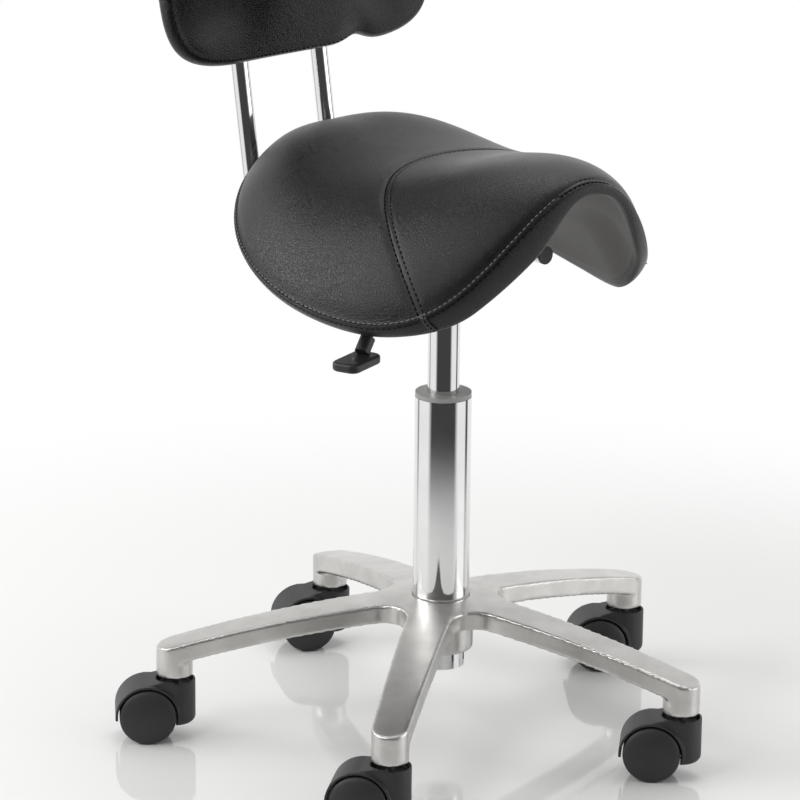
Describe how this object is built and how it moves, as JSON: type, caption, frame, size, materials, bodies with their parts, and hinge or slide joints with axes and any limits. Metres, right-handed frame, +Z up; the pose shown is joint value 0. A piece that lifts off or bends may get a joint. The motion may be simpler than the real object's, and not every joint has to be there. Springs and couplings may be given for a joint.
{
  "type": "saddle stool",
  "caption": "Saddle stool with a padded backrest on two bent tubes, gas lift column, cast star base and twin-wheel casters.",
  "frame": {"origin": "on the floor under the column axis", "axes": "+Z up, the sitter faces -Y and +X is the sitter's left hand"},
  "size_m": [0.499, 0.5106, 0.8031],
  "materials": {
    "satin_aluminium": "satin brushed",
    "chrome": "polished",
    "zinc_steel": "zinc plated",
    "black_steel": "black powder coat",
    "black_plastic": "fine moulded texture",
    "wheel_plastic": "matte moulded",
    "guide_plastic": "smooth moulded",
    "black_leatherette": "fine grained coated fabric",
    "grey_vinyl": "smooth vinyl",
    "plywood": "raw moulded plywood",
    "black_rubber": "matte"
  },
  "bodies": {
    "base": {"star_base": "satin_aluminium", "column_tube": "chrome", "guide_bush": "guide_plastic", "bearing_lower_race": "zinc_steel", "bearing_balls": "zinc_steel", "caster_1_stem": "zinc_steel", "caster_2_stem": "zinc_steel", "caster_3_stem": "zinc_steel", "caster_4_stem": "zinc_steel", "caster_5_stem": "zinc_steel"},
    "lift_rod": {"piston_rod": "zinc_steel", "piston": "guide_plastic", "bearing_upper_race": "zinc_steel", "rubber_buffer": "black_rubber", "retaining_clip": "zinc_steel"},
    "seat_carrier": {"gas_cylinder": "chrome", "cylinder_seal": "black_rubber", "mechanism_housing": "black_steel", "lever_pivot_pin": "zinc_steel", "seat_plate": "black_steel", "seat_bolts": "zinc_steel", "shell_inserts": "zinc_steel", "seat_shell": "plywood", "seat_underside": "grey_vinyl", "seat_pad": "black_leatherette", "front_tube_guide": "black_steel", "rear_tube_guide": "black_steel"},
    "valve": {"valve_pin": "zinc_steel"},
    "lever": {"height_lever": "black_steel", "lever_paddle": "black_plastic"},
    "backrest": {"left_post": "chrome", "right_post": "chrome", "post_plugs": "black_plastic", "post_brackets": "black_steel", "backrest_screws": "zinc_steel", "backrest_board": "plywood", "backrest_pad": "black_leatherette"},
    "knob": {"depth_knob": "black_plastic"},
    "caster_1": {"caster_1_hood": "black_plastic", "caster_1_axle": "zinc_steel"},
    "caster_1_left": {"caster_1_wheel_left": "wheel_plastic"},
    "caster_1_right": {"caster_1_wheel_right": "wheel_plastic"},
    "caster_2": {"caster_2_hood": "black_plastic", "caster_2_axle": "zinc_steel"},
    "caster_2_left": {"caster_2_wheel_left": "wheel_plastic"},
    "caster_2_right": {"caster_2_wheel_right": "wheel_plastic"},
    "caster_3": {"caster_3_hood": "black_plastic", "caster_3_axle": "zinc_steel"},
    "caster_3_left": {"caster_3_wheel_left": "wheel_plastic"},
    "caster_3_right": {"caster_3_wheel_right": "wheel_plastic"},
    "caster_4": {"caster_4_hood": "black_plastic", "caster_4_axle": "zinc_steel"},
    "caster_4_left": {"caster_4_wheel_left": "wheel_plastic"},
    "caster_4_right": {"caster_4_wheel_right": "wheel_plastic"},
    "caster_5": {"caster_5_hood": "black_plastic", "caster_5_axle": "zinc_steel"},
    "caster_5_left": {"caster_5_wheel_left": "wheel_plastic"},
    "caster_5_right": {"caster_5_wheel_right": "wheel_plastic"}
  },
  "joints": [
    {"name": "column_swivel", "type": "hinge", "parent": "base", "child": "lift_rod", "pos_m": [0, 0, 0.07], "axis": [0, 0, 1], "continuous": true},
    {"name": "seat_lift", "type": "slide", "parent": "lift_rod", "child": "seat_carrier", "axis": [0, 0, 1], "range_m": [-0.075, 0.055]},
    {"name": "lever_lift", "type": "hinge", "parent": "seat_carrier", "child": "lever", "pos_m": [-0.02399, -0.00703, 0.456], "axis": [-0.2811, 0.9597, 0], "range_deg": [0, 5], "stiffness_Nm_per_rad": 3, "springref_deg": -11.46},
    {"name": "valve_press", "type": "slide", "parent": "seat_carrier", "child": "valve", "axis": [0, 0, 1], "range_m": [-0.0025, 0]},
    {"name": "backrest_depth", "type": "slide", "parent": "seat_carrier", "child": "backrest", "axis": [0, 1, 0], "range_m": [0, 0.03]},
    {"name": "knob_turn", "type": "hinge", "parent": "seat_carrier", "child": "knob", "pos_m": [-0.083, 0.072, 0.441], "axis": [-1, 0, 0], "range_deg": [0, 270]},
    {"name": "caster_1_swivel", "type": "hinge", "parent": "base", "child": "caster_1", "pos_m": [0.236, 0, 0.055], "axis": [0, 0, 1], "continuous": true},
    {"name": "caster_1_left_spin", "type": "hinge", "parent": "caster_1", "child": "caster_1_left", "pos_m": [0.21762, 0.01543, 0.025], "axis": [-0.6428, -0.766, 0], "continuous": true},
    {"name": "caster_1_right_spin", "type": "hinge", "parent": "caster_1", "child": "caster_1_right", "pos_m": [0.21762, 0.01543, 0.025], "axis": [-0.6428, -0.766, 0], "continuous": true},
    {"name": "caster_2_swivel", "type": "hinge", "parent": "base", "child": "caster_2", "pos_m": [0.07293, 0.22445, 0.055], "axis": [0, 0, 1], "continuous": true},
    {"name": "caster_2_left_spin", "type": "hinge", "parent": "caster_2", "child": "caster_2_left", "pos_m": [0.05194, 0.23608, 0.025], "axis": [-0.4848, -0.8746, 0], "continuous": true},
    {"name": "caster_2_right_spin", "type": "hinge", "parent": "caster_2", "child": "caster_2_right", "pos_m": [0.05194, 0.23608, 0.025], "axis": [-0.4848, -0.8746, 0], "continuous": true},
    {"name": "caster_3_swivel", "type": "hinge", "parent": "base", "child": "caster_3", "pos_m": [-0.19093, 0.13872, 0.055], "axis": [0, 0, 1], "continuous": true},
    {"name": "caster_3_left_spin", "type": "hinge", "parent": "caster_3", "child": "caster_3_left", "pos_m": [-0.20958, 0.15382, 0.025], "axis": [-0.6293, -0.7771, 0], "continuous": true},
    {"name": "caster_3_right_spin", "type": "hinge", "parent": "caster_3", "child": "caster_3_right", "pos_m": [-0.20958, 0.15382, 0.025], "axis": [-0.6293, -0.7771, 0], "continuous": true},
    {"name": "caster_4_swivel", "type": "hinge", "parent": "base", "child": "caster_4", "pos_m": [-0.19093, -0.13872, 0.055], "axis": [0, 0, 1], "continuous": true},
    {"name": "caster_4_left_spin", "type": "hinge", "parent": "caster_4", "child": "caster_4_left", "pos_m": [-0.20537, -0.11955, 0.025], "axis": [-0.7986, -0.6018, 0], "continuous": true},
    {"name": "caster_4_right_spin", "type": "hinge", "parent": "caster_4", "child": "caster_4_right", "pos_m": [-0.20537, -0.11955, 0.025], "axis": [-0.7986, -0.6018, 0], "continuous": true},
    {"name": "caster_5_swivel", "type": "hinge", "parent": "base", "child": "caster_5", "pos_m": [0.07293, -0.22445, 0.055], "axis": [0, 0, 1], "continuous": true},
    {"name": "caster_5_left_spin", "type": "hinge", "parent": "caster_5", "child": "caster_5_left", "pos_m": [0.05718, -0.20634, 0.025], "axis": [-0.7547, -0.6561, 0], "continuous": true},
    {"name": "caster_5_right_spin", "type": "hinge", "parent": "caster_5", "child": "caster_5_right", "pos_m": [0.05718, -0.20634, 0.025], "axis": [-0.7547, -0.6561, 0], "continuous": true}
  ],
  "couplings": [
    {"joint": "valve_press", "follows": "lever_lift", "m_per_rad": -0.025}
  ]
}
